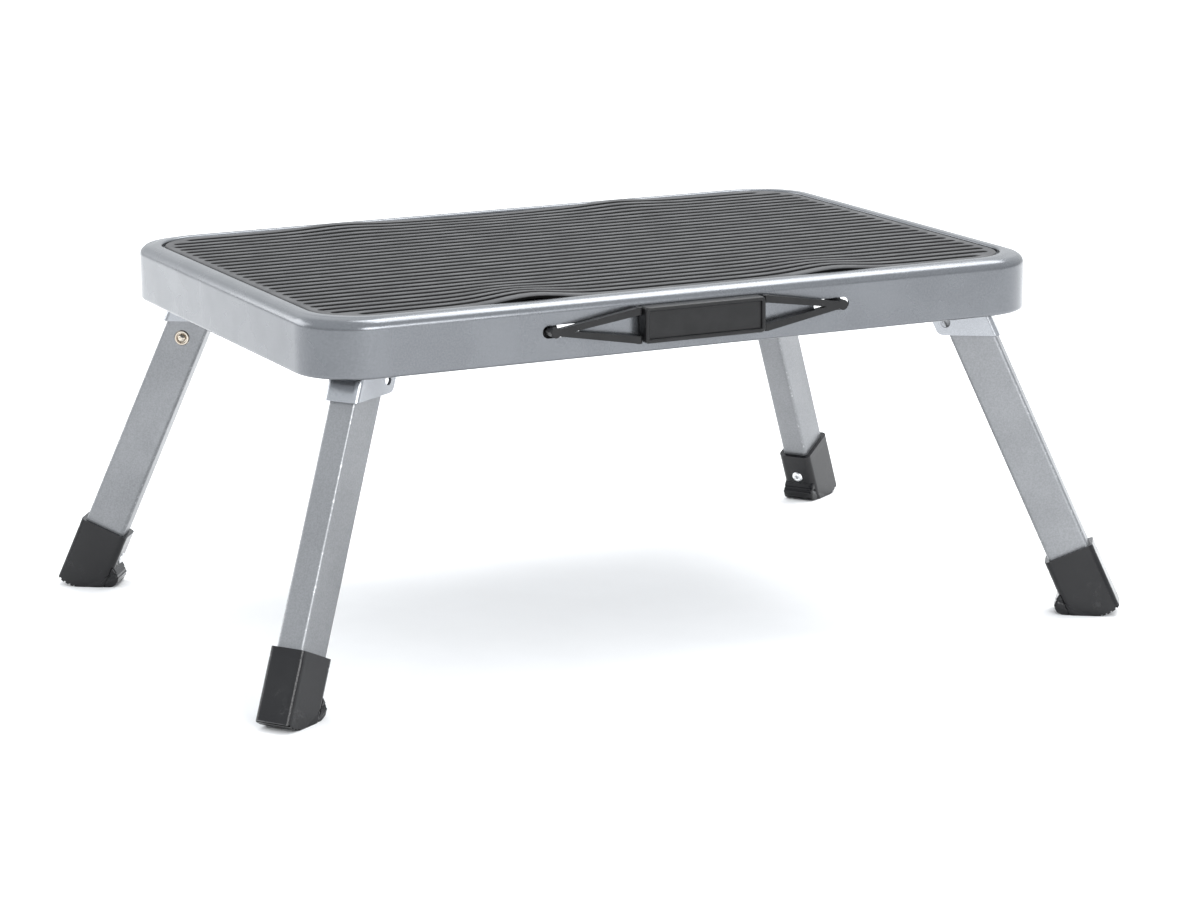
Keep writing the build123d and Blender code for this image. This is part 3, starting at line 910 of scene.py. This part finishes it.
def make_mat_tree():
    tree, into, out = new_group("ribbed mat", {
        "Geometry": "NodeSocketGeometry", "Material": "NodeSocketMaterial",
        "Grooves": float(groove_count), "Pitch": groove_pitch, "Width": groove_width,
        "Depth": 1.5 * mm, "Wall slope": 1.6 * mm, "Border": mat_border,
        "Half length": mat_half.x, "Half width": mat_half.y, "Corner": mat_corner,
        "Edge round": 0.8 * mm, "Flute place": 100 * mm, "Flute height": 3.8 * mm,
        "Flute spread": 26 * mm, "Flute reach": 45 * mm, "Drift": 1 * mm,
        "Back pull": 5 * mm, "Back pull place": 5 * mm, "Back pull spread": 45 * mm,
        "Back pull reach": 30 * mm},
        {"Geometry": "NodeSocketGeometry"}, "GeometryNodeTree")
    split = tree.nodes.new("ShaderNodeSeparateXYZ")
    plug(tree, tree.nodes.new("GeometryNodeInputPosition").outputs[0], split.inputs[0])
    x, y = split.outputs["X"], split.outputs["Y"]
    groove = groove_mask(tree, into, x, y)
    top = named(tree, "top")

    store = tree.nodes.new("GeometryNodeStoreNamedAttribute")
    store.data_type = "FLOAT"
    plug(tree, into["Geometry"], store.inputs["Geometry"])
    store.inputs["Name"].default_value = "rib"
    rib = calc(tree, "MULTIPLY", calc(tree, "SUBTRACT", 1.0, groove), top)
    plug(tree, rib, store.inputs["Value"])

    short = calc(tree, "MAXIMUM", calc(tree, "SUBTRACT", into["Edge round"],
                                       named(tree, "inset")), 0)
    edge = into["Edge round"]
    kept = calc(tree, "SQRT", calc(tree, "SUBTRACT", calc(tree, "POWER", edge, 2),
                                   calc(tree, "POWER", short, 2)))
    rounding = calc(tree, "SUBTRACT", edge, kept)
    pressed = calc(tree, "MULTIPLY_ADD", groove, into["Depth"], rounding)
    lift = calc(tree, "SUBTRACT", flutes(tree, into, x, y),
                calc(tree, "MULTIPLY", pressed, top))

    wander = tree.nodes.new("ShaderNodeTexNoise")
    wander.inputs["Scale"].default_value = drift_scale
    wander.inputs["Detail"].default_value = 1.0
    drift = calc(tree, "MULTIPLY", calc(tree, "SUBTRACT", wander.outputs["Fac"], 0.5),
                 calc(tree, "MULTIPLY", into["Drift"], 2))
    inner = ramp(tree, named(tree, "inset"), 0.0, still_border)
    from_back = calc(tree, "SUBTRACT", into["Half width"], y)
    back = calc(tree, "MULTIPLY",
                bell(tree, x, into["Back pull place"], into["Back pull spread"]),
                bell(tree, from_back, 0.0, into["Back pull reach"]))
    sideways = calc(tree, "SUBTRACT", calc(tree, "MULTIPLY", drift, inner),
                    calc(tree, "MULTIPLY", back, into["Back pull"]))

    offset = tree.nodes.new("ShaderNodeCombineXYZ")
    plug(tree, sideways, offset.inputs["Y"])
    plug(tree, lift, offset.inputs["Z"])
    move = tree.nodes.new("GeometryNodeSetPosition")
    plug(tree, store.outputs["Geometry"], move.inputs["Geometry"])
    plug(tree, offset.outputs[0], move.inputs["Offset"])
    finish_tree(tree, move.outputs[0], into["Material"], out["Geometry"])
    return tree


def finish_tree(tree, geometry, material, output):
    """Every tree ends in Realize Instances and Set Material."""
    real = tree.nodes.new("GeometryNodeRealizeInstances")
    plug(tree, geometry, real.inputs[0])
    paintwork = tree.nodes.new("GeometryNodeSetMaterial")
    plug(tree, real.outputs[0], paintwork.inputs["Geometry"])
    plug(tree, material, paintwork.inputs["Material"])
    plug(tree, paintwork.outputs[0], output)


# %% Grow the mat
def grow(name, base, tree, sizes, sharp=35):
    """Runs a Geometry Nodes tree on a base mesh and keeps the plain result."""
    seed = bpy.data.objects.new(name, base)
    scene.collection.objects.link(seed)
    modifier = seed.modifiers.new("grow", "NODES")
    modifier.node_group = tree
    for item in tree.interface.items_tree:
        if item.in_out == "INPUT" and item.name in sizes:
            modifier[item.identifier] = sizes[item.name]
    piece = as_plain_mesh(seed)
    piece.data.shade_smooth()
    piece.data.set_sharp_from_angle(angle=math.radians(sharp))
    return piece


mat = grow("ribbed_mat", mat_base(), make_mat_tree(),
           {"Material": finishes["mat_rubber"]}, sharp=50)
stand_for(mat, "mat_rubber", "anti_slip_mat")
print("mat faces", len(mat.data.polygons))

# %% [markdown]
# ## Legs, brackets and boots
#
# The engineering parts already have the right shape here. Copies with rounded
# edges stand for them. A leg has its own frame: X across the tube and outwards,
# Y along the pivot, Z down the leg. Each tube stores its place in that frame as
# `in_leg`, so one paint can follow the edges of all four. The folds of the
# boots are cut in the same frame, so they are alike at every corner.

# %% Leg frames
leg_splay = math.radians(24.0)


def leg_frame(corner):
    """Matrix from the leg's own axes to the stool's, at the pivot."""
    joint = joints["leg_fold_" + corner]
    pivot = Vector(joint["pos_m"])
    axis = Vector(joint["axis"])
    out = Vector((pivot.x, pivot.y, 0))
    out = (out - axis * out.dot(axis)).normalized()
    down = out * math.sin(leg_splay) - Vector((0, 0, math.cos(leg_splay)))
    across = out * math.cos(leg_splay) + Vector((0, 0, math.sin(leg_splay)))
    turn = Matrix((across, down.cross(across), down)).transposed()
    return Matrix.Translation(pivot) @ turn.to_4x4()


def in_leg(corner, point, direction):
    """A point and a direction given in a leg's frame."""
    place = leg_frame(corner)
    return place @ Vector(point), (place.to_3x3() @ Vector(direction)).normalized()


print("leg frame", [round(v, 3) for v in leg_frame("front_left").to_3x3().col[2]])

# %% Legs, brackets and boots
def keep_leg_place(piece, corner):
    """Stores each point's place in the leg's frame as `in_leg`."""
    as_plain_mesh(piece)
    back = leg_frame(corner).inverted()
    mesh = piece.data
    stored = mesh.attributes.new("in_leg", "FLOAT_VECTOR", "POINT")
    stored.data.foreach_set("vector", [c for v in mesh.vertices for c in back @ v.co])
    return piece


# Folds of a boot: direction and distance from the pivot in the leg's frame,
# half width of the fold, and its depth (below zero for a raised fold).
slant = (-math.sqrt(0.5), 0, math.sqrt(0.5))
boot_folds = [((0, 0, 1), 173.5 * mm, 1.2 * mm, 0.14 * mm),
              (slant, 149.3 * mm, 1.1 * mm, 0.6 * mm),
              (slant, 152.6 * mm, 1.4 * mm, -0.5 * mm),
              (slant, 156.2 * mm, 1.0 * mm, 0.4 * mm)]


on_fold = 0.01 * mm
sole_height = 1.2 * mm  # no fold moves a point as low as this
socket_gap = 0.1 * mm


def in_socket(place):
    """Whether a place in the leg's frame is inside the boot's socket."""
    return (abs(place.x) < tube_depth / 2 + socket_gap
            and abs(place.y) < tube_width / 2 + socket_gap)


def crease(piece, corner):
    """Cuts the boot along each fold, then moves the fold's middle line."""
    mesh = as_plain_mesh(piece).data
    place = leg_frame(corner)
    back, turn = place.inverted(), place.to_3x3()
    work = bmesh.new()
    work.from_mesh(mesh)
    for direction, distance, half, depth in boot_folds:
        normal = Vector(direction)
        for off in (-half, 0, half):
            bmesh.ops.bisect_plane(
                work, geom=[*work.verts, *work.edges, *work.faces], dist=1e-7,
                plane_co=place @ (normal * (distance + off)), plane_no=turn @ normal)
        work.normal_update()
        moves = [(v, v.normal * depth) for v in work.verts
                 if abs((back @ v.co).dot(normal) - distance) < on_fold
                 and v.co.z > sole_height and not in_socket(back @ v.co)]
        for v, move in moves:
            v.co -= move
    work.to_mesh(mesh)
    work.free()
    if "custom_normal" in mesh.attributes:
        mesh.attributes.remove(mesh.attributes["custom_normal"])
    mesh.shade_smooth()
    mesh.set_sharp_from_angle(angle=math.radians(40))
    piece.modifiers.new("even", "WEIGHTED_NORMAL").keep_sharp = True
    return as_plain_mesh(piece)


for corner in corners:
    stand_for(soften("leg_bracket_" + corner, 0.9 * mm, segments=3), "bracket_paint",
              "leg_bracket_" + corner)
    stand_for(crease(soften("foot_" + corner, 0.8 * mm, segments=3), corner),
              "foot_rubber", "foot_" + corner)
    stand_for(keep_leg_place(soften("leg_tube_" + corner, 0.15 * mm), corner),
              "leg_paint", "leg_tube_" + corner)
print("legs dressed", len(corners))

# %% [markdown]
# ## Rivets and buttons
#
# The same turned shapes repeat at every leg. Each is drawn once as a profile
# and turned on a lathe; a Geometry Nodes tree sets copies of it on points that
# carry an `aim` vector, so one tree serves the rivet heads and the buttons.
# The leg's own frame gives their places.

# %% Fastener tree
def make_fastener_tree():
    tree, into, out = new_group("set fasteners", {
        "Geometry": "NodeSocketGeometry", "Fastener": "NodeSocketObject", "Size": 1.0,
        "Material": "NodeSocketMaterial"}, {"Geometry": "NodeSocketGeometry"},
        "GeometryNodeTree")
    source = tree.nodes.new("GeometryNodeObjectInfo")
    plug(tree, into["Fastener"], source.inputs["Object"])
    aim_at = tree.nodes.new("GeometryNodeInputNamedAttribute")
    aim_at.data_type = "FLOAT_VECTOR"
    aim_at.inputs["Name"].default_value = "aim"
    turn = tree.nodes.new("FunctionNodeAlignRotationToVector")
    turn.axis = "Z"
    plug(tree, aim_at.outputs["Attribute"], turn.inputs["Vector"])
    place = tree.nodes.new("GeometryNodeInstanceOnPoints")
    plug(tree, into["Geometry"], place.inputs["Points"])
    plug(tree, source.outputs["Geometry"], place.inputs["Instance"])
    plug(tree, turn.outputs["Rotation"], place.inputs["Rotation"])
    plug(tree, into["Size"], place.inputs["Scale"])
    finish_tree(tree, place.outputs["Instances"], into["Material"], out["Geometry"])
    return tree


fastener_tree = make_fastener_tree()


def set_fasteners(name, pattern, places, finish):
    """Copies of a turned pattern at (point, aim) places."""
    base = bpy.data.meshes.new(name)
    base.from_pydata([p for p, _ in places], [], [])
    aims = base.attributes.new("aim", "FLOAT_VECTOR", "POINT")
    aims.data.foreach_set("vector", [v for _, a in places for v in a])
    return grow(name, base, fastener_tree, {"Fastener": pattern, "Size": 1.0,
                                            "Material": finishes[finish]})


# %% Rivets and buttons
rivet_pattern = lathe("rivet_pattern", [(r * mm, z * mm) for r, z in (
    (0.0, -1.6), (1.15, -1.6), (1.2, 0.85), (1.5, 1.12), (1.9, 1.2), (2.7, 1.14),
    (3.4, 0.88), (3.8, 0.48), (3.9, 0.15), (3.9, -0.02), (0.0, -2.2))])
button_pattern = lathe("button_pattern", [(r * mm, z * mm) for r, z in (
    (0.0, 3.0), (0.7, 2.92), (1.5, 2.55), (2.1, 2.0), (2.5, 1.2), (2.6, 0.6),
    (2.6, -0.9), (3.35, -0.9), (3.35, 0.8), (3.55, 1.05), (4.0, 1.15), (4.4, 1.0),
    (4.62, 0.6), (4.65, 0.2), (4.65, -1.6), (5.7, -1.6), (5.7, -2.6), (0.0, -2.6))])

rivet_height = 17.0 * mm  # above the floor
boot_wall = 2.8 * mm
inner_face = tube_depth / 2 + boot_wall
button_down = 29.4 * mm  # from the pivot, along the leg
for corner in corners:
    pivot_z = joints["leg_fold_" + corner]["pos_m"][2]
    drop = pivot_z - inner_face * math.sin(leg_splay) - rivet_height
    down = drop / math.cos(leg_splay)
    rivet = set_fasteners("rivet_" + corner, rivet_pattern,
                          [in_leg(corner, (-inner_face, 0, down), (-1, 0, 0))],
                          "rivet_aluminium")
    stand_for(rivet, "rivet_aluminium", "foot_rivet_" + corner)

    push = Vector(joints["button_press_" + corner]["axis"])
    middle = leg_frame(corner) @ Vector((0, 0, button_down)) - push * tube_width / 2
    button = set_fasteners("button_" + corner, button_pattern, [(middle, -push)],
                           "button_nickel")
    stand_for(button, "button_nickel", "lock_button_" + corner)

for pattern in (rivet_pattern, button_pattern):
    bpy.data.objects.remove(pattern)
print("fasteners set at", len(corners), "legs")

# %% [markdown]
# ## The carry handle
#
# The grip is a moulded block with a raised frame round a sunk panel, and its
# two forked arms run to the slots. Copies with softly rounded edges stand for
# all three, because the thin bright lines on black plastic come from those
# roundings. A round bar, bent to a frame, lies round the grip's panel.

# %% Carry handle
stand_for(soften("handle_grip", 0.55 * mm, segments=3), "handle_plastic", "handle_grip")
for side in ("left", "right"):
    stand_for(soften("handle_arm_" + side, 0.5 * mm), "handle_plastic",
              "handle_arm_" + side)
print("handle pieces", sum(name.startswith("handle") for name in nodes))

# %% Frame of the grip
def hoop(name, middle, half, corner, radius, steps=6, around=14):
    """A round bar bent to a rounded rectangle that faces along Y."""
    rings = []
    for quarter, (sx, sz) in enumerate(((1, 1), (-1, 1), (-1, -1), (1, -1))):
        for k in range(steps + 1):
            a = math.pi / 2 * (quarter + k / steps)
            out = Vector((math.cos(a), 0, math.sin(a)))
            centre = Vector((sx * (half[0] - corner), 0, sz * (half[1] - corner)))
            centre += middle + out * corner
            rings.append([
                centre + radius * (out * math.cos(t) + Vector((0, math.sin(t), 0)))
                for t in (2 * math.pi * n / around for n in range(around))])
    points = [tuple(p) for ring in rings for p in ring]
    faces = []
    for r in range(len(rings)):
        for n in range(around):
            a, b = r * around, (r + 1) % len(rings) * around
            m = (n + 1) % around
            faces.append((a + n, a + m, b + m, b + n))
    mesh = bpy.data.meshes.new(name)
    mesh.from_pydata(points, [], faces)
    outward(mesh)
    mesh.shade_smooth()
    return new_piece(name, mesh, 60)


bar = 1.35 * mm  # radius
bar_bend = 1.6 * mm
bar_sunk = 0.4 * mm  # from the front of the grip to the bar's middle
grip_low, grip_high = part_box("handle_grip")
grip_middle = (grip_low + grip_high) / 2
grip_half = (grip_high - grip_low) / 2
grip_frame = hoop(
    "grip_frame", Vector((grip_middle.x, grip_low.y + bar_sunk, grip_middle.z)),
    half=(grip_half.x - bar, grip_half.z - bar), corner=bar_bend, radius=bar)
grip_frame.data.materials.append(finishes["handle_plastic"])
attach(grip_frame, "handle_grip")
print("grip frame faces", len(grip_frame.data.polygons))
